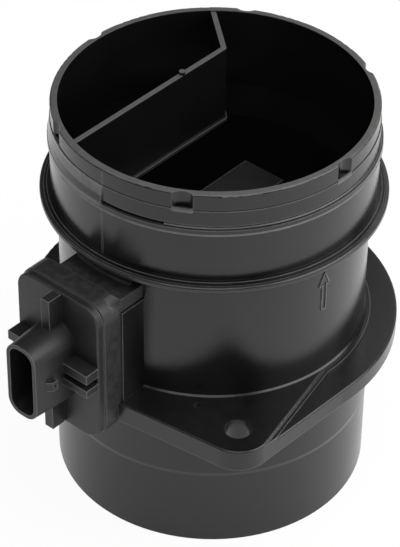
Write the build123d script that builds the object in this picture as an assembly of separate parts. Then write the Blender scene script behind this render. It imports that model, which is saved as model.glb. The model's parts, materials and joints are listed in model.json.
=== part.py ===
from build123d import *
import os
from math import sqrt

# Mass airflow sensor: a moulded duct with a plug-in hot-film sensor.
# Frame: origin at the centre of the inlet rim, +Z along the duct with the air flow,
# the electrical connector on the -Y side. All lengths in millimetres.

# ---- duct, outside: each reach or step is measured from the radius it stands on ----
body_radius = 40.75
body_foot = 0.45
body_length = 37.2
inlet_step = 1.65
inlet_length = 43.6
inlet_rim_chamfer = 0.4
hose_step_height = 23.6
hose_step_slope = 1.2
hose_step = 0.25
flange_reach = 8.85
flange_thickness = 6.4
flange_edge_round = 0.5
collar_reach = 4.55
collar_thickness = 1.8
collar_edge_round = 0.6
outlet_step = 1.65
outlet_wall_length = 14.1
collar_land = 1.1
collar_land_height = 0.5
bead_rise = 0.5
bead_height = 2.3
bead_slope = 0.4
groove_depth = 0.65
groove_height = 0.5
band_depth = 0.2
band_height = 4.4
rim_depth = 0.4
rim_height = 4.7
rim_edge_round = 0.5

# ---- duct, walls and bore ----
body_wall = 2.55
inlet_wall = 2.4
outlet_wall = 2.3
bore_cone_length = 9.0
throat_length = 28.0
grid_seat_width = 1.0
grid_seat_height = 27.0
clip_groove_depth = 0.9
clip_groove_height = 1.8

# ---- notches round the outlet rim ----
notch_count = 6
notch_first_angle = -60.0
notch_radius = 3.45
notch_depth = 1.3

# ---- mounting ears ----
ear_count = 2
ear_first_angle = -42.0
ear_hole_reach = 3.9
ear_hole_radius = 3.45
ear_tip_radius = 8.7
pad_line_angle = 12.4
pad_line_setback = 1.4
pad_low_sector = 62.6
pad_slope = 0.6
pad_ledge_width = 0.8
pad_step = 0.7
foot_ring_reach = 1.7
dimple_reach = 3.5
dimple_angle = -53.8
dimple_radius = 0.9
dimple_depth = 0.6

# ---- splitter vane in the outlet ----
vane_thickness = 1.4
vane_offset = -13.4
vane_bend_y = 18.6
vane_bend_angle = 50.0
vane_height = 22.6
vane_drop = 0.4
vane_bead_reach = 0.5
vane_bead_height = 0.8
vane_nib_y = 2.3
vane_nib_radius = 0.8
vane_nib_height = 0.9
vane_root = 0.8

# ---- sensor boss: frame and neck ----
frame_centre_x = -3.8
frame_centre_z = 61.8
frame_width = 28.4
frame_height = 43.2
frame_corner = 5.5
frame_stand = 6.45
frame_thickness = 5.9
frame_edge_round = 0.35
neck_left = -10.6
neck_right = 10.5
neck_top = 83.0
neck_reach = 30.0
side_panel_rise = 0.45
side_panel_gap = 0.5
side_panel_groove = 0.5
neck_strip_height = 3.8
neck_ridge_reach = 1.55
neck_ridge_width = 1.0
neck_ridge_height = 1.0
neck_ridge_left = -9.4
neck_ridge_right = 8.4

# ---- sensor carrier: plate, plug and finger ----
plate_inset = 0.35
plate_thickness = 2.2
plate_edge_round = 0.5
finger_left = -9.0
finger_right = 4.2
finger_bottom = 48.0
finger_top = 78.0
finger_tip = 23.7
finger_edge_round = 0.5
slot_clearance = 0.4
pocket_margin = 2.6
pocket_depth = 4.0
pocket_corner = 3.0
root_clearance = 0.2
seal_thickness = 1.6
finger_wall = 1.4

# ---- ribs on the carrier plate ----
plug_x = -3.7
plug_z = 61.7
rib_reach = 4.3
upright_rib_width = 2.8
upright_rib_margin = 0.4
ledge_height = 2.7
ledge_bottom = 62.7
lip_height = 2.2
lip_gap = 2.2
ledge_end_inset = 0.3

# ---- electrical plug shell ----
plug_width = 10.0
plug_height = 22.6
plug_corner = 4.2
plug_reach = 13.4
plug_wall = 1.1
plug_flare = 0.9
socket_depth = 14.0
catch_setback = 6.1
catch_length = 3.8
catch_flat = 1.6
catch_height = 2.8
catch_rise = 1.7
catch_drop = 0.8
catch_dimple_radius = 0.45
catch_dimple_depth = 0.6

# ---- terminals ----
terminal_count = 5
terminal_pitch = 2.9
terminal_width = 1.0
terminal_thickness = 0.6
terminal_recess = 4.7
terminal_reach = 2.4
terminal_pad_length = 2.4

# ---- electronics bay and its contents ----
bay_back = -6.2
bay_front = -38.0
bay_bottom = 54.8
bay_top = 75.8
bay_corner = 1.5
cover_land = 1.2
cover_thickness = 1.4
cover_clearance = 0.12
spreader_thickness = 0.8
spreader_clearance = 0.5
substrate_thickness = 0.8
substrate_margin = 0.9
substrate_length = 23.5
chip_size = 7.0
chip_thickness = 1.1
chip_place = (14.5, 10.7)
capacitor_length = 3.2
capacitor_width = 1.8
capacitor_height = 1.4
capacitor_places = ((7.5, 16.8), (20.6, 16.8))

# ---- bypass channel and sensing element ----
channel_centre_y = 9.5
channel_turn_z = 63.5
channel_outer_radius = 12.0
channel_post_width = 2.0
channel_floor = 1.6
vent_inset = 1.0
vent_height = 5.5
holder_thickness = 1.2
holder_side = -1.8
holder_bottom = 57.0
holder_top = 64.0
holder_reach = 8.0
holder_foot_length = 5.4
holder_foot_margin = 1.0
holder_gap = 1.0
element_length = 6.0
element_width = 2.4
element_thickness = 0.5
element_tip_margin = 0.5

# ---- air temperature sensor ----
temperature_notch_setback = 4.0
temperature_notch_width = 7.0
temperature_notch_height = 5.2
temperature_lead_radius = 0.3
temperature_lead_pitch = 1.6
temperature_lead_top = 58.5
temperature_bead_radius = 1.4
temperature_bead_drop = 2.6

# ---- flow grid, screen and clip ring in the inlet ----
grid_height = 7.0
grid_clearance = 0.15
grid_rim = 1.6
grid_cell = 6.6
grid_web = 0.8
screen_thickness = 0.5
screen_rim = 1.6
screen_pitch = 5.2
screen_wire = 0.7
clip_reach = 1.6
clip_gap = 9.0
clip_clearance = 0.1

# ---- radii that follow from the sizes above ----
inlet_radius = body_radius + inlet_step
flange_radius = body_radius + flange_reach
collar_radius = body_radius + collar_reach
outlet_wall_radius = body_radius + outlet_step
collar_land_radius = outlet_wall_radius + collar_land
bead_radius = outlet_wall_radius + bead_rise
groove_radius = outlet_wall_radius - groove_depth
band_radius = outlet_wall_radius - band_depth
rim_radius = outlet_wall_radius - rim_depth
throat_radius = body_radius - body_wall
outlet_bore_radius = outlet_wall_radius - outlet_wall
inlet_bore_radius = inlet_radius - inlet_wall
grid_seat_radius = inlet_bore_radius - grid_seat_width
clip_inner_radius = inlet_bore_radius - clip_reach
ear_hole_distance = flange_radius + ear_hole_reach
neck_ridge_radius = body_radius + neck_ridge_reach
pad_line = body_radius - pad_line_setback

# ---- levels and places that follow from the sizes above ----
flange_bottom = inlet_length
flange_top = flange_bottom + flange_thickness
ledge_level = flange_top - pad_slope
collar_bottom = flange_top + body_length
collar_top = collar_bottom + collar_thickness
bead_bottom = collar_top + outlet_wall_length
bead_top = bead_bottom + bead_height
band_bottom = bead_top + groove_height
band_top = band_bottom + band_height
outlet_rim = band_top + rim_height
vane_top = outlet_rim - vane_drop
vane_bottom = vane_top - vane_height
throat_top = vane_bottom - bore_cone_length
throat_bottom = throat_top - throat_length
frame_back = -body_radius - frame_stand
frame_front = frame_back - frame_thickness
plate_front = frame_front - plate_thickness
plug_mouth = plate_front - plug_reach
catch_back = plug_mouth + catch_setback
socket_floor = plug_mouth + socket_depth
pocket_floor = frame_front + pocket_depth
seal_front = pocket_floor - seal_thickness
finger_middle_x = (finger_left + finger_right) / 2
finger_middle_z = (finger_bottom + finger_top) / 2
finger_width = finger_right - finger_left
finger_height = finger_top - finger_bottom
base_wall_inside = finger_left + finger_wall
cover_back = finger_right - cover_thickness
spreader_top = base_wall_inside + spreader_thickness
substrate_top = spreader_top + substrate_thickness
substrate_front = bay_front + substrate_margin
substrate_back = substrate_front + substrate_length
terminal_inner_end = bay_front + terminal_reach
temperature_notch_front = bay_front + temperature_notch_setback
leg_width = channel_outer_radius - channel_post_width / 2
grid_radius = inlet_bore_radius - grid_clearance
screen_bottom = grid_seat_height - grid_height - screen_thickness
clip_groove_top = screen_bottom


def block(x0, x1, y0, y1, z0, z1):
    """A square-edged block between two corners."""
    centre = Pos((x0 + x1) / 2, (y0 + y1) / 2, (z0 + z1) / 2)
    return centre * Box(x1 - x0, y1 - y0, z1 - z0)


def turned(points):
    """A solid turned about the duct's axis from (radius, height) points."""
    section = make_face(Polyline(*points, close=True))
    return revolve(Plane.XZ * section, Axis.Z)


def upright_slab(x, z, width, height, corner, back, front):
    """A round-cornered slab that stands across the Y axis, from back forward to front."""
    outline = Pos(x, z) * RectangleRounded(width, height, corner)
    return extrude(Plane.XZ.offset(-back) * outline, back - front)


def side_slab(outline, x0, x1):
    """A slab with an outline drawn in (Y, Z), between two places along X."""
    return extrude(Plane.YZ.offset(x0) * outline, x1 - x0)


def rounded_window(y0, y1, z0, z1, corner):
    """A round-cornered outline in (Y, Z)."""
    return Pos((y0 + y1) / 2, (z0 + z1) / 2) * RectangleRounded(y1 - y0, z1 - z0, corner)


# ---- housing ----

def duct_outside():
    """The turned outer form of the duct: spigots, body, collar, bead and rim."""
    lower_radius = inlet_radius + hose_step
    points = [
        (0, 0),
        (inlet_radius - inlet_rim_chamfer, 0),
        (inlet_radius, inlet_rim_chamfer),
        (inlet_radius, hose_step_height),
        (lower_radius, hose_step_height + hose_step_slope),
        (lower_radius, flange_bottom + flange_thickness / 2),
        (body_radius + body_foot, flange_top),
        (body_radius, flange_top + body_foot),
        (body_radius, collar_bottom),
        (collar_radius, collar_bottom),
        (collar_radius, collar_top),
        (collar_land_radius, collar_top),
        (collar_land_radius, collar_top + collar_land_height),
        (outlet_wall_radius, collar_top + collar_land_height),
        (outlet_wall_radius, bead_bottom),
        (bead_radius, bead_bottom + bead_slope),
        (bead_radius, bead_top - bead_slope),
        (groove_radius, bead_top),
        (groove_radius, band_bottom),
        (band_radius, band_bottom),
        (band_radius, band_top),
        (rim_radius, band_top),
        (rim_radius, outlet_rim),
        (0, outlet_rim),
    ]
    duct = turned(points)
    collar_edges = duct.edges().filter_by(GeomType.CIRCLE).group_by(SortBy.RADIUS)[-1]
    duct = fillet(collar_edges, collar_edge_round)
    rim_edge = duct.edges().filter_by(GeomType.CIRCLE).group_by(Axis.Z)[-1]
    return fillet(rim_edge, rim_edge_round)


def duct_bore():
    """The air passage: outlet bore, cone, throat, grid seat and inlet bore with clip groove."""
    clip_groove_radius = inlet_bore_radius + clip_groove_depth
    points = [
        (0, 0),
        (inlet_bore_radius, 0),
        (inlet_bore_radius, clip_groove_top - clip_groove_height),
        (clip_groove_radius, clip_groove_top - clip_groove_height),
        (clip_groove_radius, clip_groove_top),
        (inlet_bore_radius, clip_groove_top),
        (inlet_bore_radius, grid_seat_height),
        (grid_seat_radius, grid_seat_height),
        (throat_radius, throat_bottom),
        (throat_radius, throat_top),
        (outlet_bore_radius, vane_bottom),
        (outlet_bore_radius, outlet_rim),
        (0, outlet_rim),
    ]
    return turned(points)


def rim_notches():
    """The round-bottomed bites taken out of the outside of the outlet rim, down to the band."""
    bite_centre = rim_radius + notch_radius - notch_depth
    bites = PolarLocations(bite_centre, notch_count, notch_first_angle)
    outline = Sketch() + [place * Circle(notch_radius) for place in bites]
    return extrude(Pos(0, 0, band_top) * outline, rim_height)


def ear_outline(inset):
    """One ear along +X: a round tip joined to the flange circle by its tangent lines."""
    plate_radius = flange_radius - inset
    tip_radius = ear_tip_radius - inset
    lean = (plate_radius - tip_radius) / ear_hole_distance
    rise = sqrt(1 - lean * lean)
    corners = [
        (plate_radius * lean, plate_radius * rise),
        (ear_hole_distance + tip_radius * lean, tip_radius * rise),
        (ear_hole_distance + tip_radius * lean, -tip_radius * rise),
        (plate_radius * lean, -plate_radius * rise),
    ]
    web = make_face(Polyline(*corners, close=True))
    return web + Pos(ear_hole_distance, 0) * Circle(tip_radius)


def flange_outline(inset):
    """The flange seen from above, the round plate and its ears, smaller all round by an inset."""
    outline = Sketch() + Circle(flange_radius - inset)
    for ear in range(ear_count):
        outline += Rot(0, 0, ear_first_angle + ear * 360 / ear_count) * ear_outline(inset)
    return outline


def flange_plate(thickness):
    """The flange's whole outline at one thickness, with its edges rounded."""
    plate = extrude(Pos(0, 0, flange_bottom) * flange_outline(0), thickness)
    return fillet(plate.edges().group_by(Axis.Z)[-1] + plate.edges().group_by(Axis.Z)[0],
                  flange_edge_round)


def beside_pad():
    """What is missing beside an ear's raised pad: a slope, a ledge, a step and a low sector."""
    ledge_edge = pad_line + pad_slope + pad_ledge_width
    points = [
        (pad_line, flange_top),
        (pad_line + pad_slope, ledge_level),
        (ledge_edge, ledge_level),
        (ledge_edge, flange_bottom),
        (flange_radius + pad_slope, flange_bottom),
        (flange_radius + pad_slope, flange_top),
    ]
    side = make_face(Plane.XZ * Polyline(*points, close=True))
    far = Vector(2 * flange_radius, 0)
    sector = make_face(Polyline((0, 0), far, far.rotate(Axis.Z, pad_low_sector), close=True))
    low = extrude(Pos(0, 0, flange_bottom) * sector, flange_thickness)
    return low + extrude(side, flange_radius, both=True)


def flange():
    """The mounting flange: raised pads with the two drilled ears, lower sides, a foot ring."""
    pads = flange_plate(flange_thickness)
    for ear in range(ear_count):
        pads -= Rot(0, 0, pad_line_angle + ear * 360 / ear_count) * beside_pad()
    plate = pads + flange_plate(ledge_level - pad_step - flange_bottom)
    foot_ring = Circle(body_radius + foot_ring_reach)
    plate += extrude(Pos(0, 0, flange_bottom) * foot_ring, ledge_level - flange_bottom)
    for place in PolarLocations(ear_hole_distance, ear_count, ear_first_angle):
        hole = place * Circle(ear_hole_radius)
        plate -= extrude(Pos(0, 0, flange_bottom) * hole, flange_thickness)
    dimple = Rot(0, 0, dimple_angle) * Pos(body_radius + dimple_reach, 0) * Circle(dimple_radius)
    return plate - extrude(Pos(0, 0, flange_top - dimple_depth) * dimple, dimple_depth)


def boss():
    """The sensor boss on the side of the duct: frame, neck, raised side panel and ridge."""
    frame = upright_slab(frame_centre_x, frame_centre_z, frame_width, frame_height,
                         frame_corner, frame_back, frame_front)
    front_edges = frame.edges().group_by(Axis.Y)[0]
    frame = fillet(front_edges, frame_edge_round)
    neck = block(neck_left, neck_right, frame_back, -neck_reach, flange_top, neck_top)
    panel_top = neck_top - neck_strip_height
    panel = block(neck_right, neck_right + side_panel_rise, frame_back, -neck_reach,
                  flange_top, panel_top - side_panel_gap)
    groove = block(neck_right - side_panel_groove, neck_right, frame_back, -neck_reach,
                   panel_top - side_panel_gap, panel_top)
    return frame + neck + panel - groove + neck_ridge()


def neck_ridge():
    """The low ridge on top of the neck, concentric with the duct."""
    ring = Circle(neck_ridge_radius + neck_ridge_width / 2)
    ring -= Circle(neck_ridge_radius - neck_ridge_width / 2)
    ridge = extrude(Pos(0, 0, neck_top) * ring, neck_ridge_height)
    keep = block(neck_ridge_left, neck_ridge_right, -neck_ridge_radius - neck_ridge_width, 0,
                 neck_top, neck_top + neck_ridge_height)
    return ridge & keep


def carrier_recess():
    """The pocket in the frame and the slot through the neck that take the sensor carrier."""
    pocket = upright_slab(finger_middle_x, finger_middle_z, finger_width + 2 * pocket_margin,
                          finger_height + 2 * pocket_margin, pocket_corner,
                          pocket_floor, frame_front)
    slot = block(finger_left - slot_clearance, finger_right + slot_clearance,
                 pocket_floor, -neck_reach,
                 finger_bottom - slot_clearance, finger_top + slot_clearance)
    return pocket + slot


def vane_outline(thickness):
    """The vane seen along the duct: a straight wall that turns once to meet the bore."""
    far = 2 * outlet_bore_radius
    bend = Pos(vane_offset, vane_bend_y)
    straight = Pos(vane_offset, vane_bend_y - far / 2) * Rectangle(thickness, far)
    turned_leg = bend * Rot(0, 0, vane_bend_angle) * Pos(0, far / 2) * Rectangle(thickness, far)
    outline = straight + bend * Circle(thickness / 2) + turned_leg
    return outline & Circle(outlet_bore_radius + vane_root)


def splitter_vane():
    """The wall moulded across the outlet, with a bead along its lower edge."""
    wall = extrude(Pos(0, 0, vane_bottom) * vane_outline(vane_thickness), vane_height)
    lip = vane_outline(vane_thickness + 2 * vane_bead_reach)
    wall += extrude(Pos(0, 0, vane_bottom) * lip, vane_bead_height)
    nib = Pos(vane_offset, vane_nib_y, vane_top) * Circle(vane_nib_radius)
    return wall + extrude(nib, vane_nib_height)


def housing():
    """The one-piece moulded duct."""
    body = duct_outside() + flange() + boss()
    body -= duct_bore()
    body -= rim_notches()
    body -= carrier_recess()
    return body + splitter_vane()


# ---- sensor carrier ----

def plug_shell():
    """The plug shell, a little wider at the plate than at its mouth."""
    foot = RectangleRounded(plug_width + 2 * plug_flare, plug_height + 2 * plug_flare,
                            plug_corner + plug_flare)
    mouth = RectangleRounded(plug_width, plug_height, plug_corner)
    place = Pos(plug_x, plug_z)
    sections = [Plane.XZ.offset(-plate_front) * place * foot,
                Plane.XZ.offset(-plug_mouth) * place * mouth]
    return loft(sections)


def plug_socket():
    """The space inside the plug shell."""
    return upright_slab(plug_x, plug_z, plug_width - 2 * plug_wall, plug_height - 2 * plug_wall,
                        plug_corner - plug_wall, socket_floor, plug_mouth)


def plug_catch():
    """The ramped catch on the side of the plug shell, with a dimple in its crest."""
    shell_side = plug_x + plug_width / 2
    root = shell_side - plug_wall / 2
    crest = shell_side + catch_rise
    middle = plug_z - catch_drop
    ramp = Polyline((root, catch_back - catch_length), (crest, catch_back - catch_flat),
                    (crest, catch_back), (root, catch_back), close=True)
    catch = extrude(Pos(0, 0, middle - catch_height / 2) * make_face(ramp), catch_height)
    dimple = Rot(0, 90, 0) * Cylinder(catch_dimple_radius, 2 * catch_dimple_depth)
    return catch - Pos(crest, catch_back - catch_flat / 2, middle) * dimple


def plate_ribs():
    """The cross of ribs round the plug and the slotted ledge on its right."""
    front = plate_front - rib_reach
    plate_left = frame_centre_x - frame_width / 2 + plate_inset
    plate_right = frame_centre_x + frame_width / 2 - plate_inset
    plate_low = frame_centre_z - frame_height / 2 + plate_inset
    plate_high = frame_centre_z + frame_height / 2 - plate_inset
    ledge_top = ledge_bottom + ledge_height
    lip_top = ledge_bottom - lip_gap
    upright = block(plug_x - upright_rib_width / 2, plug_x + upright_rib_width / 2,
                    front, plate_front, plate_low, plate_high - upright_rib_margin)
    ledge = block(plate_left + ledge_end_inset, plate_right, front, plate_front,
                  ledge_bottom, ledge_top)
    lip = block(plug_x, plate_right, front, plate_front, lip_top - lip_height, lip_top)
    return upright + ledge + lip


def channel_arch(radius, floor):
    """The upside-down U that the bypass channel makes, in (Y, Z), without its middle post."""
    legs = Pos(channel_centre_y, (floor + channel_turn_z) / 2)
    legs = legs * Rectangle(2 * radius, channel_turn_z - floor)
    return legs + Pos(channel_centre_y, channel_turn_z) * Circle(radius)


def channel_cut():
    """The bypass channel: in at the bottom of the outer leg, round the post, down the inner leg."""
    floor = finger_bottom + channel_floor
    post_height = channel_turn_z - finger_bottom
    post = Pos(channel_centre_y, finger_bottom + post_height / 2)
    post = post * Rectangle(channel_post_width, post_height)
    post += Pos(channel_centre_y, channel_turn_z) * Circle(channel_post_width / 2)
    outer_leg = channel_centre_y + channel_post_width / 2
    entry = Pos(outer_leg + leg_width / 2, finger_bottom + channel_floor / 2)
    entry = entry * Rectangle(leg_width, channel_floor)
    course = channel_arch(channel_outer_radius, floor) + entry - post
    return side_slab(course, base_wall_inside, finger_right)


def channel_vent():
    """The window in the base wall where the bypass air leaves the inner leg."""
    low = finger_bottom + channel_floor
    inner = channel_centre_y - channel_outer_radius
    window = rounded_window(inner + vent_inset, inner + leg_width - vent_inset,
                            low, low + vent_height, vent_inset)
    return side_slab(window, finger_left, base_wall_inside)


def electronics_bay():
    """The closed bay for the circuit, with the rebate that seats its cover."""
    bay = rounded_window(bay_front, bay_back, bay_bottom, bay_top, bay_corner)
    rebate = rounded_window(bay_front - cover_land, bay_back + cover_land,
                            bay_bottom - cover_land, bay_top + cover_land,
                            bay_corner + cover_land)
    return side_slab(bay, base_wall_inside, finger_right) + side_slab(rebate, cover_back,
                                                                      finger_right)


def temperature_notch():
    """The notch in the upstream edge of the finger where the temperature bead hangs."""
    back = temperature_notch_front + temperature_notch_width
    return block(finger_left, finger_right, temperature_notch_front, back,
                 finger_bottom, finger_bottom + temperature_notch_height)


def holder_slot():
    """The slot between bay and channel that the element holder passes through."""
    return block(holder_side - holder_thickness, holder_side,
                 bay_back, channel_centre_y - channel_outer_radius + channel_post_width,
                 holder_bottom, holder_top)


def sensor_carrier():
    """The one-piece carrier: plate, ribs, plug shell, root and finger with its open bays."""
    plate = upright_slab(frame_centre_x, frame_centre_z, frame_width - 2 * plate_inset,
                         frame_height - 2 * plate_inset, frame_corner - plate_inset,
                         frame_front, plate_front)
    plate = fillet(plate.edges().group_by(Axis.Y)[0], plate_edge_round)
    root = upright_slab(finger_middle_x, finger_middle_z,
                        finger_width + 2 * (pocket_margin - root_clearance),
                        finger_height + 2 * (pocket_margin - root_clearance),
                        pocket_corner - root_clearance, seal_front, frame_front)
    finger = block(finger_left, finger_right, seal_front, finger_tip, finger_bottom, finger_top)
    tip_edges = finger.edges().group_by(Axis.Y)[-1]
    finger = fillet(tip_edges, finger_edge_round)
    finger -= electronics_bay()
    finger -= channel_cut()
    finger -= side_slab(channel_arch(channel_outer_radius + cover_land, finger_bottom),
                        cover_back, finger_right)
    finger -= channel_vent()
    finger -= temperature_notch()
    finger -= holder_slot()
    carrier = plate + root + finger + plate_ribs() + plug_shell() + plug_catch()
    carrier -= plug_socket()
    for height in terminal_heights():
        carrier -= terminal_shank(height, socket_floor, terminal_inner_end)
    for lead_y in lead_places():
        carrier -= lead_bar(lead_y, finger_bottom + temperature_notch_height, bay_bottom)
    return carrier


def carrier_seal():
    """The rubber ring squeezed between the carrier's root and the floor of the frame's pocket."""
    outer = pocket_margin - root_clearance
    ring = upright_slab(finger_middle_x, finger_middle_z, finger_width + 2 * outer,
                        finger_height + 2 * outer, pocket_corner - root_clearance,
                        pocket_floor, seal_front)
    return ring - block(finger_left, finger_right, seal_front, pocket_floor,
                        finger_bottom, finger_top)


def bypass_cover():
    """The lid over the bypass channel, set flush into the finger."""
    radius = channel_outer_radius + cover_land - cover_clearance
    return side_slab(channel_arch(radius, finger_bottom), cover_back, finger_right)


def electronics_cover():
    """The lid over the electronics bay, set flush into the finger."""
    edge = cover_land - cover_clearance
    outline = rounded_window(bay_front - edge, bay_back + edge, bay_bottom - edge,
                             bay_top + edge, bay_corner + edge)
    return side_slab(outline, cover_back, finger_right)


# ---- terminals ----

def terminal_heights():
    """The heights of the terminals, evenly spaced about the plug's middle."""
    first = plug_z - terminal_pitch * (terminal_count - 1) / 2
    return [first + terminal_pitch * place for place in range(terminal_count)]


def terminal_shank(height, front, back):
    """The straight run of a terminal between two places along Y."""
    return block(plug_x - terminal_thickness / 2, plug_x + terminal_thickness / 2,
                 front, back, height - terminal_width / 2, height + terminal_width / 2)


def terminal(height):
    """A stamped terminal: blade in the plug, shank through the carrier, foot on the circuit."""
    low = height - terminal_width / 2
    high = height + terminal_width / 2
    shank = terminal_shank(height, plug_mouth + terminal_recess, terminal_inner_end)
    tip = shank.edges().filter_by(Axis.Z).group_by(Axis.Y)[0]
    shank = chamfer(tip, terminal_thickness / 3)
    drop = block(substrate_top, plug_x, terminal_inner_end - terminal_thickness,
                 terminal_inner_end, low, high)
    foot = block(substrate_top, substrate_top + terminal_thickness,
                 terminal_inner_end - terminal_thickness,
                 terminal_inner_end + terminal_pad_length, low, high)
    return shank + drop + foot


# ---- circuit ----

def heat_spreader():
    """The metal plate on the floor of the bay that carries the circuit."""
    outline = rounded_window(bay_front + spreader_clearance, bay_back - spreader_clearance,
                             bay_bottom + spreader_clearance, bay_top - spreader_clearance,
                             bay_corner - spreader_clearance)
    return side_slab(outline, base_wall_inside, spreader_top)


def circuit_substrate():
    """The ceramic circuit board."""
    return block(spreader_top, substrate_top, substrate_front, substrate_back,
                 bay_bottom + substrate_margin, bay_top - substrate_margin)


def on_substrate(place, length, width, height):
    """A component that stands on the circuit board, placed from the bay's lower front corner."""
    y = bay_front + place[0]
    z = bay_bottom + place[1]
    return block(substrate_top, substrate_top + height, y - length / 2, y + length / 2,
                 z - width / 2, z + width / 2)


def element_holder():
    """The tongue that reaches into the bypass channel, with a foot on the heat spreader."""
    channel_wall = channel_centre_y - channel_outer_radius
    foot_front = substrate_back + holder_gap
    foot_back = foot_front + holder_foot_length
    tongue = block(holder_side - holder_thickness, holder_side, foot_front,
                   channel_wall + holder_reach, holder_bottom, holder_top)
    foot = block(spreader_top, holder_side, foot_front, foot_back,
                 holder_bottom - holder_foot_margin, holder_top + holder_foot_margin)
    return tongue + foot - hot_film_element()


def hot_film_element():
    """The sensing chip, let in flush at the end of the tongue."""
    tip = channel_centre_y - channel_outer_radius + holder_reach - element_tip_margin
    middle = (holder_bottom + holder_top) / 2
    return block(holder_side - element_thickness, holder_side, tip - element_length, tip,
                 middle - element_width / 2, middle + element_width / 2)


# ---- air temperature sensor ----

def lead_places():
    """The two places along Y of the temperature sensor's leads."""
    middle = temperature_notch_front + temperature_notch_width / 2
    return [middle - temperature_lead_pitch / 2, middle + temperature_lead_pitch / 2]


def lead_bar(lead_y, low, high):
    """A round wire that stands against the face of the circuit board."""
    base = Pos(substrate_top + temperature_lead_radius, lead_y, low)
    return extrude(base * Circle(temperature_lead_radius), high - low)


def bead_level():
    """The height of the bead's centre in the notch."""
    return finger_bottom + temperature_notch_height - temperature_bead_drop


def temperature_bead():
    """The glass bead on the ends of its two leads."""
    middle = temperature_notch_front + temperature_notch_width / 2
    bead = Pos(substrate_top + temperature_lead_radius, middle, bead_level())
    bead = bead * Sphere(temperature_bead_radius)
    for lead_y in lead_places():
        bead -= lead_bar(lead_y, bead_level(), temperature_lead_top)
    return bead


# ---- inlet grid, screen and clip ring ----

def grid_cells():
    """The honeycomb of cells inside the grid's rim."""
    pitch = grid_cell + grid_web
    row_step = pitch * sqrt(3) / 2
    opening = grid_radius - grid_rim
    rows = int(opening / row_step)
    cells = []
    for row in range(-rows, rows + 1):
        shift = pitch / 2 if row % 2 else 0
        count = int(opening / pitch) + 1
        for column in range(-count, count + 1):
            x = column * pitch + shift
            y = row * row_step
            if sqrt(x * x + y * y) < opening - grid_web:
                cells.append(Pos(x, y) * RegularPolygon(grid_cell / 2, 6, False, 30))
    return (Sketch() + cells) & Circle(opening)


def flow_grid():
    """The honeycomb flow straightener, seated against the step in the bore."""
    outline = Circle(grid_radius) - grid_cells()
    return extrude(Pos(0, 0, grid_seat_height - grid_height) * outline, grid_height)


def wire_screen():
    """The wire screen below the grid, drawn as a flat mesh inside a rim."""
    opening = grid_radius - screen_rim
    half = screen_pitch / 2
    count = int(opening / screen_pitch)
    holes = []
    for row in range(-count, count + 1):
        for column in range(-count, count + 1):
            x = column * screen_pitch
            y = row * screen_pitch
            if sqrt((abs(x) + half) ** 2 + (abs(y) + half) ** 2) < opening:
                holes.append(Pos(x, y) * Rectangle(screen_pitch - screen_wire,
                                                   screen_pitch - screen_wire))
    outline = Circle(grid_radius) - (Sketch() + holes)
    return extrude(Pos(0, 0, screen_bottom) * outline, screen_thickness)


def clip_ring():
    """The open spring ring that snaps into the bore's groove and holds screen and grid."""
    outer = inlet_bore_radius + clip_groove_depth - clip_clearance
    ring = Circle(outer) - Circle(clip_inner_radius)
    ring -= Pos(0, outer) * Rectangle(clip_gap, 2 * (outer - clip_inner_radius) + clip_gap)
    thickness = clip_groove_height - clip_clearance
    return extrude(Pos(0, 0, clip_groove_top - thickness) * ring, thickness)


# ---- parts ----

parts = {
    "housing": housing(),
    "sensor_carrier": sensor_carrier(),
    "carrier_seal": carrier_seal(),
    "bypass_cover": bypass_cover(),
    "electronics_cover": electronics_cover(),
    "heat_spreader": heat_spreader(),
    "circuit_substrate": circuit_substrate(),
    "signal_chip": on_substrate(chip_place, chip_size, chip_size, chip_thickness),
    "element_holder": element_holder(),
    "hot_film_element": hot_film_element(),
    "temperature_bead": temperature_bead(),
    "flow_grid": flow_grid(),
    "wire_screen": wire_screen(),
    "clip_ring": clip_ring(),
}
for number, height in enumerate(terminal_heights(), start=1):
    parts[f"terminal_{number}"] = terminal(height)
for number, place in enumerate(capacitor_places, start=1):
    parts[f"capacitor_{number}"] = on_substrate(place, capacitor_length, capacitor_width,
                                                capacitor_height)
for number, lead_y in enumerate(lead_places(), start=1):
    parts[f"temperature_lead_{number}"] = lead_bar(lead_y, bead_level(), temperature_lead_top)

os.makedirs("parts", exist_ok=True)
for name, solid in parts.items():
    export_step(solid, f"parts/{name}.step")
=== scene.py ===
import bpy
import bmesh
import json
from math import cos, pi, radians, sin
from mathutils import Matrix, Quaternion, Vector


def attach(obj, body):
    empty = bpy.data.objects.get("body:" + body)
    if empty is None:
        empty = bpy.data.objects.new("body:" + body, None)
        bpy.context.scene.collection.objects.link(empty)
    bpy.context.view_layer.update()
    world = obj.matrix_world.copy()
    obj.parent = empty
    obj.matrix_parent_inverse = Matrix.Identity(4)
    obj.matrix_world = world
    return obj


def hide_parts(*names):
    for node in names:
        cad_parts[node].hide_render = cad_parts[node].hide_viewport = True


# Mass airflow sensor: finishes, small moulded details, light and camera.
# Lengths in metres. Origin at the centre of the inlet rim, +Z with the air flow,
# the electrical plug on the -Y side.

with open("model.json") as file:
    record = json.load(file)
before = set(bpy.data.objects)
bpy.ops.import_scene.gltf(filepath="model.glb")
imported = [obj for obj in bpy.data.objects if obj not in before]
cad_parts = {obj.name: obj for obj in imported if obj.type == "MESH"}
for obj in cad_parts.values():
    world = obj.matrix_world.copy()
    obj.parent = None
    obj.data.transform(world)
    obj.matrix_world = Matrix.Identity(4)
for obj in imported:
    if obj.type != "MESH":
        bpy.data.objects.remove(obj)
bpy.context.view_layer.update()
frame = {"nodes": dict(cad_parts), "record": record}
nodes = frame["nodes"]
record = frame["record"]

MM = 0.001

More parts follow.
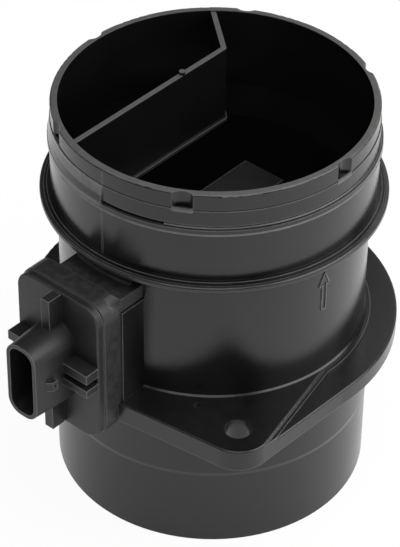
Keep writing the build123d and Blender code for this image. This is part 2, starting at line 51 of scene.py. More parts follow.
# ---- levels and radii of the duct ----
BODY_RADIUS = 40.75 * MM
COLLAR_LAND_TOP = 89.5 * MM
COLLAR_RADIUS = 45.3 * MM
COLLAR_BOTTOM = 87.2 * MM
COLLAR_TOP = 89.0 * MM
COLLAR_SKIN = 0.02 * MM
COLLAR_RIM_WIDTH = 1.0 * MM
COLLAR_ROUND = 0.6 * MM
OUTLET_WALL_RADIUS = 42.4 * MM
BEAD_BOTTOM = 103.1 * MM
BAND_BOTTOM = 105.9 * MM
BAND_TOP = 110.3 * MM
RIM_RADIUS = 42.0 * MM
RIM_TOP = 115.0 * MM
SCREEN_RADIUS = 39.85 * MM
SCREEN_BOTTOM = 19.5 * MM
SCREEN_THICKNESS = 0.5 * MM

# ---- mould details of the outlet spigot; SINK is how deep an added piece is let in ----
SINK = 0.6 * MM
LAND_RADIUS = 42.86 * MM
LAND_TOP_RADIUS = 42.1 * MM
LAND_BOTTOM = 104.5 * MM
LAND_SLOPE = 0.06 * MM
BEAD_RADIUS = 42.9 * MM
GROOVE_RADIUS = 41.75 * MM
LIP_HEIGHT = 0.6 * MM
LIP_RISE = 0.06 * MM
LIP_LEVEL = 103.2 * MM
LIP_SOFTEN = 0.2 * MM
LIP_FIRST = -22.0
LIP_SWEEP = 180.0
GROOVE_LIP_LEVEL = 105.1 * MM
GROOVE_LIP_RADIUS = 42.5 * MM
GROOVE_LIP_SOFTEN = 0.25 * MM
GROOVE_LIP_FIRST = 24.0
GROOVE_LIP_SWEEP = 150.0
TURNING_PITCH = 1300.0
TURNING_DEPTH = 0.012 * MM
SEAM_WIDTH = 0.28 * MM
SEAM_HEIGHT = 0.02 * MM
SEAM_SOFTEN = 0.02 * MM
SEAM_STOP = 0.7 * MM

# ---- neck of the sensor boss ----
NECK_START = 40.9 * MM
NECK_LEFT = -10.8 * MM
NECK_RIGHT = 10.7 * MM
NECK_FOOT = 50.3 * MM
NECK_TOP = 84.4 * MM
RIDGE_RADIUS = 42.3 * MM
RIDGE_TOP = 84.0 * MM
RIDGE_HALF_WIDTH = 0.52 * MM
RIDGE_CAP_RISE = 0.05 * MM
RIDGE_SOFTEN = 0.15 * MM
RIDGE_FIRST = -12.9
RIDGE_SWEEP = 24.4

# ---- notches of the outlet rim ----
NOTCH_COUNT = 6
NOTCH_AZIMUTH = 30.0
NOTCH_HALF_ANGLE = 3.5
NOTCH_LIP_INNER = 41.65 * MM
NOTCH_LIP_OUTER = 42.15 * MM
NOTCH_LIP_TOP = 110.75 * MM
NOTCH_LIP_SOFTEN = 0.12 * MM

# ---- blend at the frame's upper right corner ----
FILL_SIZE = (3.4 * MM, 2.6 * MM, 3.0 * MM)
FILL_CENTRE = (8.7 * MM, -48.5 * MM, 81.5 * MM)
FILL_TOP_PULL = (-1.61 * MM, 0.0, -1.21 * MM)
FILL_FOOT_PULL = (-0.42 * MM, 0.0, 0.0)

# ---- drilled and moulded holes in the flange: x, y, and how far their clean edge reaches ----
HOLES = (
    (39.76 * MM, -35.8 * MM, 4.1 * MM),
    (-39.76 * MM, 35.8 * MM, 4.1 * MM),
    (26.13 * MM, -35.71 * MM, 1.60 * MM),
)

# ---- flow arrow on the body ----
ARROW_AZIMUTH = 84.1
ARROW_TIP = 82.3 * MM
ARROW_NECK = 78.4 * MM
ARROW_FOOT = 70.5 * MM
ARROW_HEAD_HALF = 1.8 * MM
ARROW_SHAFT_HALF = 0.68 * MM
ARROW_LINE = 0.36 * MM
ARROW_HEIGHT = 0.3 * MM
ARROW_BARB_DROP = 0.2 * MM
ARROW_SOFTEN = 0.07 * MM

# ---- woven screen ----
WIRE_RADIUS = 0.12 * MM
WEAVE_RISE = 0.12 * MM
WEAVE_PITCH = 1.6 * MM
WIRE_SIDES = 5
SCREEN_RIM_WIDTH = 1.6 * MM
SCREEN_RIM_SOFTEN = 0.08 * MM


# ---- helpers ----

def finished(name, shape, material, smooth_angle=35.0):
    """Makes an object of a bmesh, gives it its finish and lets it ride on the duct."""
    mesh = bpy.data.meshes.new(name)
    bmesh.ops.recalc_face_normals(shape, faces=shape.faces)
    shape.to_mesh(mesh)
    shape.free()
    piece = bpy.data.objects.new(name, mesh)
    bpy.context.scene.collection.objects.link(piece)
    mesh.materials.append(material)
    mesh.shade_smooth()
    mesh.set_sharp_from_angle(angle=radians(smooth_angle))
    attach(piece, "root")
    return piece


# ---- shared effects, as node groups ----

def new_group(name, inputs, outputs):
    """A node group with named sockets; inputs and outputs are lists of (name, kind, default)."""
    group = bpy.data.node_groups.new(name, "ShaderNodeTree")
    for label, kind, default in inputs:
        socket = group.interface.new_socket(label, in_out="INPUT", socket_type=kind)
        socket.default_value = default
    for label, kind in outputs:
        group.interface.new_socket(label, in_out="OUTPUT", socket_type=kind)
    return group, group.nodes.new("NodeGroupInput"), group.nodes.new("NodeGroupOutput")


def noise(tree, scale, detail, rough=0.5):
    """A noise texture on Object coordinates; scale is a number or a socket."""
    place = tree.nodes.new("ShaderNodeTexCoord")
    texture = tree.nodes.new("ShaderNodeTexNoise")
    texture.inputs["Detail"].default_value = detail
    texture.inputs["Roughness"].default_value = rough
    tree.links.new(place.outputs["Object"], texture.inputs["Vector"])
    if isinstance(scale, (int, float)):
        texture.inputs["Scale"].default_value = scale
    else:
        tree.links.new(scale, texture.inputs["Scale"])
    return texture.outputs["Fac"]


def stretched(tree, value, low, high, to_low=0.0, to_high=1.0):
    """Maps a value from one range to another, clamped."""
    ramp = tree.nodes.new("ShaderNodeMapRange")
    ramp.inputs["From Min"].default_value = low
    ramp.inputs["From Max"].default_value = high
    ramp.inputs["To Min"].default_value = to_low
    ramp.inputs["To Max"].default_value = to_high
    tree.links.new(value, ramp.inputs["Value"])
    return ramp.outputs["Result"]


def math_node(tree, operation, first, second=None):
    """A maths node; the second input may be a number or a socket."""
    node = tree.nodes.new("ShaderNodeMath")
    node.operation = operation
    tree.links.new(first, node.inputs[0])
    if second is None:
        return node.outputs[0]
    if isinstance(second, (int, float)):
        node.inputs[1].default_value = second
    else:
        tree.links.new(second, node.inputs[1])
    return node.outputs[0]


def vector_node(tree, operation, first, second=None):
    """A vector maths node; gives its value for a length or a dot product, else its vector."""
    node = tree.nodes.new("ShaderNodeVectorMath")
    node.operation = operation
    tree.links.new(first, node.inputs[0])
    if second is not None:
        tree.links.new(second, node.inputs[1])
    return node.outputs["Value" if operation in ("LENGTH", "DOT_PRODUCT") else "Vector"]


def build_painted_edge_highlight():
    """Rounded normals at the edges, and a mask that is 1 at outer edges, where a highlight is
    painted into the colour.
    """
    group, given, result = new_group(
        "painted_edge_highlight",
        [("Radius", "NodeSocketFloat", 0.0001), ("Reach", "NodeSocketFloat", 0.00035)],
        [("Edge", "NodeSocketFloat"), ("Normal", "NodeSocketVector")])
    rounded = group.nodes.new("ShaderNodeBevel")
    rounded.samples = 6
    group.links.new(given.outputs["Radius"], rounded.inputs["Radius"])
    depth = group.nodes.new("ShaderNodeAmbientOcclusion")
    depth.inside = True
    depth.samples = 8
    group.links.new(given.outputs["Reach"], depth.inputs["Distance"])
    # painted highlight: this mask makes the colour lighter along outer edges, standing in for
    # the light they catch
    edge = stretched(group, depth.outputs["AO"], 0.93, 0.58)
    broken = stretched(group, noise(group, 300.0, 3.0), 0.35, 0.65, 0.7, 1.0)
    group.links.new(math_node(group, "MULTIPLY", edge, broken), result.inputs["Edge"])
    group.links.new(rounded.outputs["Normal"], result.inputs["Normal"])
    return group


def build_turned_normal():
    """Makes the normal of a turned surface point exactly from or to the duct's axis."""
    group, given, result = new_group(
        "turned_normal",
        [("Normal", "NodeSocketVector", (0.0, 0.0, 1.0))],
        [("Normal", "NodeSocketVector")])
    place = group.nodes.new("ShaderNodeTexCoord")
    spot = group.nodes.new("ShaderNodeSeparateXYZ")
    group.links.new(place.outputs["Object"], spot.inputs["Vector"])
    radial = group.nodes.new("ShaderNodeCombineXYZ")
    group.links.new(spot.outputs["X"], radial.inputs["X"])
    group.links.new(spot.outputs["Y"], radial.inputs["Y"])
    outward = vector_node(group, "NORMALIZE", radial.outputs["Vector"])
    parts = group.nodes.new("ShaderNodeSeparateXYZ")
    group.links.new(given.outputs["Normal"], parts.inputs["Vector"])
    level = group.nodes.new("ShaderNodeCombineXYZ")
    group.links.new(parts.outputs["X"], level.inputs["X"])
    group.links.new(parts.outputs["Y"], level.inputs["Y"])
    flat = vector_node(group, "NORMALIZE", level.outputs["Vector"])
    likeness = vector_node(group, "DOT_PRODUCT", flat, outward)
    alike = stretched(group, math_node(group, "ABSOLUTE", likeness), 0.9960, 0.9985)
    length = vector_node(group, "LENGTH", level.outputs["Vector"])
    signed = math_node(group, "MULTIPLY", length, math_node(group, "SIGN", likeness))
    across = group.nodes.new("ShaderNodeVectorMath")
    across.operation = "SCALE"
    group.links.new(outward, across.inputs[0])
    group.links.new(signed, across.inputs["Scale"])
    exact = group.nodes.new("ShaderNodeCombineXYZ")
    group.links.new(parts.outputs["Z"], exact.inputs["Z"])
    exact = vector_node(group, "ADD", across.outputs[0], exact.outputs["Vector"])
    blend = group.nodes.new("ShaderNodeMix")
    blend.data_type = "VECTOR"
    group.links.new(alike, blend.inputs["Factor"])
    group.links.new(given.outputs["Normal"], blend.inputs[4])
    group.links.new(exact, blend.inputs[5])
    group.links.new(vector_node(group, "NORMALIZE", blend.outputs[1]),
                    result.inputs["Normal"])
    return group


def build_clean_holes():
    """Nearly 0 round the flange's holes, whose edges stay sharp and dark without a painted edge
    highlight, and 1 elsewhere.
    """
    group, given, result = new_group(
        "clean_holes",
        [("Left", "NodeSocketFloat", 0.15)],
        [("Keep", "NodeSocketFloat")])
    place = group.nodes.new("ShaderNodeTexCoord")
    spot = group.nodes.new("ShaderNodeSeparateXYZ")
    group.links.new(place.outputs["Object"], spot.inputs["Vector"])
    flat = group.nodes.new("ShaderNodeCombineXYZ")
    group.links.new(spot.outputs["X"], flat.inputs["X"])
    group.links.new(spot.outputs["Y"], flat.inputs["Y"])
    apart = None
    for x, y, reach in HOLES:
        step = group.nodes.new("ShaderNodeVectorMath")
        step.operation = "SUBTRACT"
        group.links.new(flat.outputs["Vector"], step.inputs[0])
        step.inputs[1].default_value = (x, y, 0.0)
        away = vector_node(group, "LENGTH", step.outputs["Vector"])
        far = math_node(group, "GREATER_THAN", away, reach)
        apart = far if apart is None else math_node(group, "MULTIPLY", apart, far)
    above = math_node(group, "GREATER_THAN", spot.outputs["Z"], NECK_FOOT)
    apart = math_node(group, "MAXIMUM", apart, above)
    keep = math_node(group, "MAXIMUM", given.outputs["Left"], apart)
    group.links.new(keep, result.inputs["Keep"])
    return group


def build_turning_marks():
    """Fine level lines round the band of the outlet, on one half of the mould."""
    group, given, result = new_group(
        "turning_marks",
        [("Pitch", "NodeSocketFloat", TURNING_PITCH)],
        [("Height", "NodeSocketFloat")])
    place = group.nodes.new("ShaderNodeTexCoord")
    spot = group.nodes.new("ShaderNodeSeparateXYZ")
    group.links.new(place.outputs["Object"], spot.inputs["Vector"])
    level = group.nodes.new("ShaderNodeCombineXYZ")
    group.links.new(spot.outputs["Z"], level.inputs["Z"])
    lines = group.nodes.new("ShaderNodeTexNoise")
    lines.inputs["Detail"].default_value = 1.0
    group.links.new(level.outputs["Vector"], lines.inputs["Vector"])
    group.links.new(given.outputs["Pitch"], lines.inputs["Scale"])
    marks = stretched(group, lines.outputs["Fac"], 0.35, 0.65)
    for axis, test, limit in (("X", "GREATER_THAN", 0.0), ("Z", "GREATER_THAN", BAND_BOTTOM),
                              ("Z", "LESS_THAN", BAND_TOP)):
        within = math_node(group, test, spot.outputs[axis], limit)
        marks = math_node(group, "MULTIPLY", marks, within)
    group.links.new(marks, result.inputs["Height"])
    return group


def build_moulded_grain():
    """Fine grain of a moulded surface, with sparse glass-fibre flecks."""
    group, given, result = new_group(
        "moulded_grain",
        [("Grain Scale", "NodeSocketFloat", 4000.0), ("Fleck Scale", "NodeSocketFloat", 900.0)],
        [("Height", "NodeSocketFloat"), ("Fleck", "NodeSocketFloat")])
    grain = noise(group, given.outputs["Grain Scale"], 2.0)
    fleck = stretched(group, noise(group, given.outputs["Fleck Scale"], 1.0), 0.62, 0.72)
    lifted = math_node(group, "MULTIPLY", fleck, 0.35)
    group.links.new(math_node(group, "ADD", grain, lifted), result.inputs["Height"])
    group.links.new(fleck, result.inputs["Fleck"])
    return group


def build_flow_cloud():
    """Broad, soft unevenness that the melt leaves as it fills the mould."""
    group, given, result = new_group(
        "flow_cloud",
        [("Scale", "NodeSocketFloat", 45.0)],
        [("Cloud", "NodeSocketFloat")])
    broad = noise(group, given.outputs["Scale"], 4.0, 0.6)
    group.links.new(stretched(group, broad, 0.3, 0.7), result.inputs["Cloud"])
    return group


def build_settled_dust():
    """A thin film of dust on faces that look up."""
    group, given, result = new_group(
        "settled_dust",
        [("Amount", "NodeSocketFloat", 0.5)],
        [("Dust", "NodeSocketFloat")])
    surface = group.nodes.new("ShaderNodeNewGeometry")
    parts = group.nodes.new("ShaderNodeSeparateXYZ")
    group.links.new(surface.outputs["Normal"], parts.inputs["Vector"])
    upward = stretched(group, parts.outputs["Z"], 0.3, 1.0)
    patch = stretched(group, noise(group, 260.0, 5.0, 0.65), 0.42, 0.72)
    film = math_node(group, "MULTIPLY", upward, patch)
    film = math_node(group, "MULTIPLY", film, given.outputs["Amount"])
    group.links.new(film, result.inputs["Dust"])
    return group


def build_painted_rim_highlight():
    """A mask on the up-facing rim of the outlet, which is made rougher and painted a lighter
    grey as a highlight.
    """
    group, given, result = new_group(
        "painted_rim_highlight",
        [("Level", "NodeSocketFloat", 0.1145)],
        [("Highlight", "NodeSocketFloat")])
    place = group.nodes.new("ShaderNodeTexCoord")
    height = group.nodes.new("ShaderNodeSeparateXYZ")
    group.links.new(place.outputs["Object"], height.inputs["Vector"])
    above = math_node(group, "GREATER_THAN", height.outputs["Z"], given.outputs["Level"])
    surface = group.nodes.new("ShaderNodeNewGeometry")
    facing = group.nodes.new("ShaderNodeSeparateXYZ")
    group.links.new(surface.outputs["Normal"], facing.inputs["Vector"])
    # painted highlight: only faces that look up are made lighter
    upward = stretched(group, facing.outputs["Z"], 0.45, 0.85)
    patchy = stretched(group, noise(group, 500.0, 4.0, 0.6), 0.3, 0.7, 0.75, 1.0)
    mask = math_node(group, "MULTIPLY", above, upward)
    group.links.new(math_node(group, "MULTIPLY", mask, patchy), result.inputs["Highlight"])
    return group


def build_matt_boss_painted_sheen():
    """A mask on the sensor boss, whose mould is rougher than the duct's and leaves it matt, and
    which is also painted a lighter grey as a sheen.
    """
    group, given, result = new_group(
        "matt_boss_painted_sheen",
        [("Front", "NodeSocketFloat", -0.0468)],
        [("Matt", "NodeSocketFloat")])
    place = group.nodes.new("ShaderNodeTexCoord")
    spot = group.nodes.new("ShaderNodeSeparateXYZ")
    group.links.new(place.outputs["Object"], spot.inputs["Vector"])
    frame_part = math_node(group, "LESS_THAN", spot.outputs["Y"], given.outputs["Front"])
    flat = group.nodes.new("ShaderNodeCombineXYZ")
    group.links.new(spot.outputs["X"], flat.inputs["X"])
    group.links.new(spot.outputs["Y"], flat.inputs["Y"])
    away = vector_node(group, "LENGTH", flat.outputs["Vector"])
    neck_part = math_node(group, "GREATER_THAN", away, NECK_START)
    for axis, test, limit in (("Y", "LESS_THAN", 0.0), ("X", "GREATER_THAN", NECK_LEFT),
                              ("Z", "GREATER_THAN", NECK_FOOT), ("Z", "LESS_THAN", NECK_TOP)):
        within = math_node(group, test, spot.outputs[axis], limit)
        neck_part = math_node(group, "MULTIPLY", neck_part, within)
    boss = math_node(group, "MAXIMUM", frame_part, neck_part)
    right = math_node(group, "LESS_THAN", spot.outputs["X"], NECK_RIGHT)
    boss = math_node(group, "MULTIPLY", boss, right)
    mottle = stretched(group, noise(group, 420.0, 5.0, 0.65), 0.3, 0.7, 0.35, 1.0)
    group.links.new(math_node(group, "MULTIPLY", boss, mottle), result.inputs["Matt"])
    return group


painted_edge_highlight = build_painted_edge_highlight()
turned_normal = build_turned_normal()
turning_marks = build_turning_marks()
clean_holes = build_clean_holes()
matt_boss_painted_sheen = build_matt_boss_painted_sheen()
painted_rim_highlight = build_painted_rim_highlight()
moulded_grain = build_moulded_grain()
flow_cloud = build_flow_cloud()
settled_dust = build_settled_dust()


def place_group(tree, group, **values):
    """Puts a shared group in a material with its own values."""
    node = tree.nodes.new("ShaderNodeGroup")
    node.node_tree = group
    for label, value in values.items():
        node.inputs[label.replace("_", " ")].default_value = value
    return node


def mixed(tree, factor, dark, light):
    """A colour between two, each a tuple or a socket, by a factor socket."""
    node = tree.nodes.new("ShaderNodeMix")
    node.data_type = "RGBA"
    tree.links.new(factor, node.inputs["Factor"])
    for label, colour in (("A", dark), ("B", light)):
        socket = [s for s in node.inputs if s.name == label and s.type == "RGBA"][0]
        if isinstance(colour, tuple):
            socket.default_value = (*colour, 1.0)
        else:
            tree.links.new(colour, socket)
    return [s for s in node.outputs if s.type == "RGBA"][0]


def new_material(name):
    """A material with a Principled shader; gives the material, its tree and the shader."""
    material = bpy.data.materials.new(name)
    material.use_nodes = True
    tree = material.node_tree
    return material, tree, tree.nodes["Principled BSDF"]


def bumped(tree, height, normal, distance, strength=1.0):
    """A bump of the given height over another normal."""
    bump = tree.nodes.new("ShaderNodeBump")
    bump.inputs["Distance"].default_value = distance
    bump.inputs["Strength"].default_value = strength
    tree.links.new(height, bump.inputs["Height"])
    if normal is not None:
        tree.links.new(normal, bump.inputs["Normal"])
    return bump.outputs["Normal"]


def plastic(name, dark, light, roughness, edge_highlight_colour, edge_radius=0.0003, grain=4000.0,
            grain_height=0.000022, dust=0.04, edge_highlight_strength=0.8, turned=False):
    """A moulded plastic: clouded colour, fine grain, softened edges with a painted highlight,
    and a little dust; turned ones also get a painted highlight on the outlet's rim and a painted
    sheen on the boss.
    """
    material, tree, shader = new_material(name)
    cloud = place_group(tree, flow_cloud).outputs["Cloud"]
    texture = place_group(tree, moulded_grain, Grain_Scale=grain)
    edge = place_group(tree, painted_edge_highlight, Radius=edge_radius)
    film = place_group(tree, settled_dust, Amount=dust).outputs["Dust"]
    colour = mixed(tree, cloud, dark, light)
    # painted highlight along outer edges, in the edge colour
    edge_highlight = math_node(tree, "MULTIPLY", edge.outputs["Edge"], edge_highlight_strength)
    if turned:
        keep = place_group(tree, clean_holes).outputs["Keep"]
        edge_highlight = math_node(tree, "MULTIPLY", edge_highlight, keep)
    colour = mixed(tree, edge_highlight, colour, edge_highlight_colour)
    colour = mixed(tree, film, colour, DUST_COLOUR)
    rough = stretched(tree, cloud, 0.0, 1.0, roughness[0], roughness[1])
    rough = math_node(tree, "ADD", rough, math_node(tree, "MULTIPLY", film, DUST_ROUGHENS))
    if turned:
        # painted highlight on the up-facing rim of the outlet, which is also made rougher
        rim_highlight_mask = place_group(tree, painted_rim_highlight).outputs["Highlight"]
        colour = mixed(tree, rim_highlight_mask, colour, RIM_HIGHLIGHT_GREY)
        rough = math_node(tree, "ADD", rough, math_node(tree, "MULTIPLY", rim_highlight_mask, RIM_ROUGHENS))
        # the boss is made rougher, and is also painted a lighter grey as a sheen
        matt = place_group(tree, matt_boss_painted_sheen).outputs["Matt"]
        colour = mixed(tree, matt, colour, BOSS_SHEEN_GREY)
        rough = math_node(tree, "ADD", rough, math_node(tree, "MULTIPLY", matt, MATT_ROUGHENS))
    tree.links.new(colour, shader.inputs["Base Color"])
    tree.links.new(rough, shader.inputs["Roughness"])
    normal = edge.outputs["Normal"]
    if turned:
        exact = place_group(tree, turned_normal)
        tree.links.new(normal, exact.inputs["Normal"])
        marks = place_group(tree, turning_marks).outputs["Height"]
        normal = bumped(tree, marks, exact.outputs["Normal"], TURNING_DEPTH)
    normal = bumped(tree, texture.outputs["Height"], normal, grain_height)
    tree.links.new(normal, shader.inputs["Normal"])
    return material


def metal(name, dark, light, roughness, grain=1500.0, grain_height=0.000004,
          edge_radius=0.0001):
    """A stamped or drawn metal with fine scratches and a faint tarnish."""
    material, tree, shader = new_material(name)
    cloud = place_group(tree, flow_cloud, Scale=220.0).outputs["Cloud"]
    texture = place_group(tree, moulded_grain, Grain_Scale=grain)
    edge = place_group(tree, painted_edge_highlight, Radius=edge_radius)
    tree.links.new(mixed(tree, cloud, dark, light), shader.inputs["Base Color"])
    shader.inputs["Metallic"].default_value = 1.0
    rough = stretched(tree, cloud, 0.0, 1.0, roughness[0], roughness[1])
    tree.links.new(rough, shader.inputs["Roughness"])
    normal = bumped(tree, texture.outputs["Height"], edge.outputs["Normal"], grain_height)
    tree.links.new(normal, shader.inputs["Normal"])
    return material


def glass_bead_finish():
    """Dark, slightly tinted glass over the temperature sensor."""
    material, tree, shader = new_material("bead_glass")
    cloud = place_group(tree, flow_cloud, Scale=900.0).outputs["Cloud"]
    tree.links.new(mixed(tree, cloud, (0.10, 0.055, 0.02), (0.16, 0.09, 0.04)),
                   shader.inputs["Base Color"])
    tree.links.new(stretched(tree, cloud, 0.0, 1.0, 0.06, 0.14), shader.inputs["Roughness"])
    shader.inputs["Coat Weight"].default_value = 0.5
    shader.inputs["Coat Roughness"].default_value = 0.05
    texture = place_group(tree, moulded_grain, Grain_Scale=2500.0)
    tree.links.new(bumped(tree, texture.outputs["Height"], None, 0.000003),
                   shader.inputs["Normal"])
    return material


BLACK = (0.0038, 0.0038, 0.0038)
SOFT_BLACK = (0.0054, 0.0053, 0.0052)
# painted highlights: the colours given to outer edges
EDGE_HIGHLIGHT_GREY = (0.120, 0.120, 0.117)
PLUG_EDGE_HIGHLIGHT_GREY = (0.130, 0.130, 0.127)
# painted highlight grey for the up-facing rim of the outlet
RIM_HIGHLIGHT_GREY = (0.070, 0.070, 0.068)
# painted sheen: the lighter grey of the boss
BOSS_SHEEN_GREY = (0.0230, 0.0230, 0.0225)
DUST_COLOUR = (0.075, 0.072, 0.066)
DUST_ROUGHENS = 0.4
RIM_ROUGHENS = 0.3
MATT_ROUGHENS = 0.36
DUCT_ROUGHNESS = (0.17, 0.21)
DUCT_EDGE_RADIUS = 0.1 * MM

# the fifth value of each plastic is the colour of its painted edge highlight
finishes = {
    "duct_plastic": plastic("duct_plastic", BLACK, SOFT_BLACK, DUCT_ROUGHNESS, EDGE_HIGHLIGHT_GREY,
                            edge_radius=DUCT_EDGE_RADIUS, turned=True),
    "turned_plastic": plastic("turned_plastic", BLACK, SOFT_BLACK, DUCT_ROUGHNESS, EDGE_HIGHLIGHT_GREY,
                              edge_radius=DUCT_EDGE_RADIUS, edge_highlight_strength=0.12, turned=True),
    # painted highlight: a lighter copy of the black plastic, for the bead's lips and the ridge's
    # top
    "painted_highlight_plastic": plastic("painted_highlight_plastic", (0.008, 0.008, 0.008), (0.026, 0.026, 0.025),
                              (0.26, 0.34), EDGE_HIGHLIGHT_GREY, edge_radius=DUCT_EDGE_RADIUS,
                              turned=True),
    "carrier_plastic": plastic("carrier_plastic", (0.0062, 0.0062, 0.0063),
                               (0.0088, 0.0088, 0.0086), (0.40, 0.50), PLUG_EDGE_HIGHLIGHT_GREY,
                               edge_radius=0.00014, grain=2200.0, grain_height=0.000028),
    "cover_plastic": plastic("cover_plastic", (0.0070, 0.0070, 0.0072),
                             (0.0100, 0.0100, 0.0100), (0.38, 0.46), EDGE_HIGHLIGHT_GREY),
    "grid_plastic": plastic("grid_plastic", (0.0065, 0.0065, 0.0065),
                            (0.0095, 0.0095, 0.0093), (0.40, 0.50), EDGE_HIGHLIGHT_GREY,
                            edge_radius=0.00015),
    "seal_rubber": plastic("seal_rubber", (0.010, 0.010, 0.010), (0.016, 0.015, 0.015),
                           (0.60, 0.72), (0.03, 0.03, 0.03), grain_height=0.00002, dust=0.3),
    "chip_body": plastic("chip_body", (0.010, 0.010, 0.011), (0.015, 0.015, 0.016),
                         (0.45, 0.55), (0.05, 0.05, 0.05), edge_radius=0.00008),
    "circuit_ceramic": plastic("circuit_ceramic", (0.62, 0.61, 0.58), (0.70, 0.69, 0.66),
                               (0.35, 0.45), (0.78, 0.77, 0.75), edge_radius=0.00006,
                               dust=0.05),
    "capacitor_body": plastic("capacitor_body", (0.34, 0.22, 0.13), (0.42, 0.28, 0.17),
                              (0.30, 0.42), (0.5, 0.38, 0.28), edge_radius=0.00008,
                              dust=0.05),
    "holder_plastic": plastic("holder_plastic", (0.012, 0.012, 0.013),
                              (0.018, 0.018, 0.018), (0.35, 0.45), (0.05, 0.05, 0.05),
                              edge_radius=0.0001),
    "silicon": metal("silicon", (0.16, 0.18, 0.24), (0.22, 0.24, 0.30), (0.10, 0.18)),
    "terminal_metal": metal("terminal_metal", (0.52, 0.50, 0.46), (0.66, 0.64, 0.60),
                            (0.22, 0.36)),
    "spreader_metal": metal("spreader_metal", (0.60, 0.60, 0.60), (0.72, 0.72, 0.72),
                            (0.28, 0.42)),
    "lead_wire": metal("lead_wire", (0.55, 0.50, 0.42), (0.68, 0.62, 0.52), (0.20, 0.32)),
    "screen_metal": metal("screen_metal", (0.46, 0.46, 0.45), (0.60, 0.60, 0.58),
                          (0.26, 0.40)),
    "clip_metal": metal("clip_metal", (0.50, 0.50, 0.49), (0.64, 0.64, 0.62), (0.24, 0.38)),
    "bead_glass": glass_bead_finish(),
}


def dress_frame():
    """Gives every part of the frame the finish of its material slot."""
    for part in record["subparts"]:
        mesh = nodes[part["node"]].data
        mesh.materials.clear()
        mesh.materials.append(finishes[part["material_slot"]])


dress_frame()


# ---- mould details of the outlet spigot ----

def swept_bar(inner, outer, low, high, first, sweep, steps, soften, segments=1):
    """A bar of rectangular section swept round the duct, its outer corners cut or rounded."""
    shape = bmesh.new()
    bmesh.ops.create_grid(shape, x_segments=1, y_segments=1, size=0.5)
    stand = Matrix.Rotation(radians(90.0), 4, "X")
    size = Matrix.Diagonal((outer - inner, 1.0, high - low, 1.0))
    place = Matrix.Translation(((inner + outer) / 2, 0.0, (low + high) / 2))
    turn = Matrix.Rotation(radians(first - 90.0), 4, "Z")
    bmesh.ops.transform(shape, matrix=turn @ place @ size @ stand, verts=shape.verts)
    corners = [v for v in shape.verts if v.co.xy.length > (inner + outer) / 2]
    bmesh.ops.bevel(shape, geom=corners, offset=soften, segments=segments,
                    profile=0.5, affect="VERTICES", material=-1)
    full = abs(sweep) == 360.0
    if full:
        bmesh.ops.delete(shape, geom=shape.faces[:], context="FACES_ONLY")
    bmesh.ops.spin(shape, geom=shape.verts[:] + shape.edges[:] + shape.faces[:],
                   cent=(0.0, 0.0, 0.0), axis=(0.0, 0.0, 1.0), angle=radians(sweep),
                   steps=steps, use_merge=full)
    return shape


def collar_rim():
    """The evenly rounded outer rim of the collar."""
    shape = swept_bar(COLLAR_RADIUS - COLLAR_RIM_WIDTH, COLLAR_RADIUS + COLLAR_SKIN,
                      COLLAR_BOTTOM - COLLAR_SKIN, COLLAR_TOP + COLLAR_SKIN, 0.0, 360.0, 240,
                      COLLAR_ROUND, 6)
    finished("collar_rim", shape, finishes["turned_plastic"])


def parting_land():
    """The raised land that fills the outlet's groove on one half of the mould."""
    shape = swept_bar(RIM_RADIUS - SINK, LAND_RADIUS, LAND_BOTTOM, BAND_TOP, 0.0, -180.0, 90,
                      LAND_SLOPE)
    for v in shape.verts:
        if v.co.z > BAND_BOTTOM and v.co.xy.length > RIM_RADIUS:
            v.co.xy *= LAND_TOP_RADIUS / LAND_RADIUS
    finished("parting_land", shape, finishes["duct_plastic"])


def bead_lips():
    """The lips at the lower edge of the bead and in the groove above it, painted lighter as a
    highlight.
    """
    lower = swept_bar(BEAD_RADIUS - SINK, BEAD_RADIUS + LIP_RISE, LIP_LEVEL,
                      LIP_LEVEL + LIP_HEIGHT, LIP_FIRST, LIP_SWEEP, 90, LIP_SOFTEN)
    finished("bead_lip", lower, finishes["painted_highlight_plastic"])
    upper = swept_bar(GROOVE_RADIUS - SINK, GROOVE_LIP_RADIUS, GROOVE_LIP_LEVEL,
                      GROOVE_LIP_LEVEL + LIP_HEIGHT, GROOVE_LIP_FIRST, GROOVE_LIP_SWEEP, 80,
                      GROOVE_LIP_SOFTEN)
    finished("groove_lip", upper, finishes["painted_highlight_plastic"])


def ridge_cap():
    """The top of the low ridge on the neck, painted lighter as a highlight."""
    shape = swept_bar(RIDGE_RADIUS - SINK, RIDGE_RADIUS + RIDGE_HALF_WIDTH, RIDGE_TOP - SINK,
                      RIDGE_TOP + RIDGE_CAP_RISE, RIDGE_FIRST, RIDGE_SWEEP, 20, RIDGE_SOFTEN)
    finished("ridge_cap", shape, finishes["painted_highlight_plastic"])


def notch_lips():
    """The thin lip that closes each notch of the outlet rim towards the band."""
    for number in range(NOTCH_COUNT):
        first = NOTCH_AZIMUTH + number * 360.0 / NOTCH_COUNT - NOTCH_HALF_ANGLE
        shape = swept_bar(NOTCH_LIP_INNER, NOTCH_LIP_OUTER, BAND_TOP - SINK, NOTCH_LIP_TOP,
                          first, 2 * NOTCH_HALF_ANGLE, 8, NOTCH_LIP_SOFTEN)
        finished("notch_lip_%d" % (number + 1), shape,
                 finishes["duct_plastic"])


def frame_corner_fill():
    """The blend from the frame's round upper corner back to the neck's square one."""
    shape = bmesh.new()
    size = Matrix.Diagonal((*FILL_SIZE, 1.0))
    place = Matrix.Translation(FILL_CENTRE)
    made = bmesh.ops.create_cube(shape, size=1.0, matrix=place @ size)["verts"]
    middle_x, middle_y, middle_z = FILL_CENTRE
    for v in made:
        if v.co.y < middle_y and v.co.x > middle_x:
            pull = FILL_TOP_PULL if v.co.z > middle_z else FILL_FOOT_PULL
            bmesh.ops.translate(shape, verts=[v], vec=pull)
    bmesh.ops.triangulate(shape, faces=shape.faces)
    finished("frame_corner_fill", shape, finishes["turned_plastic"], 80.0)


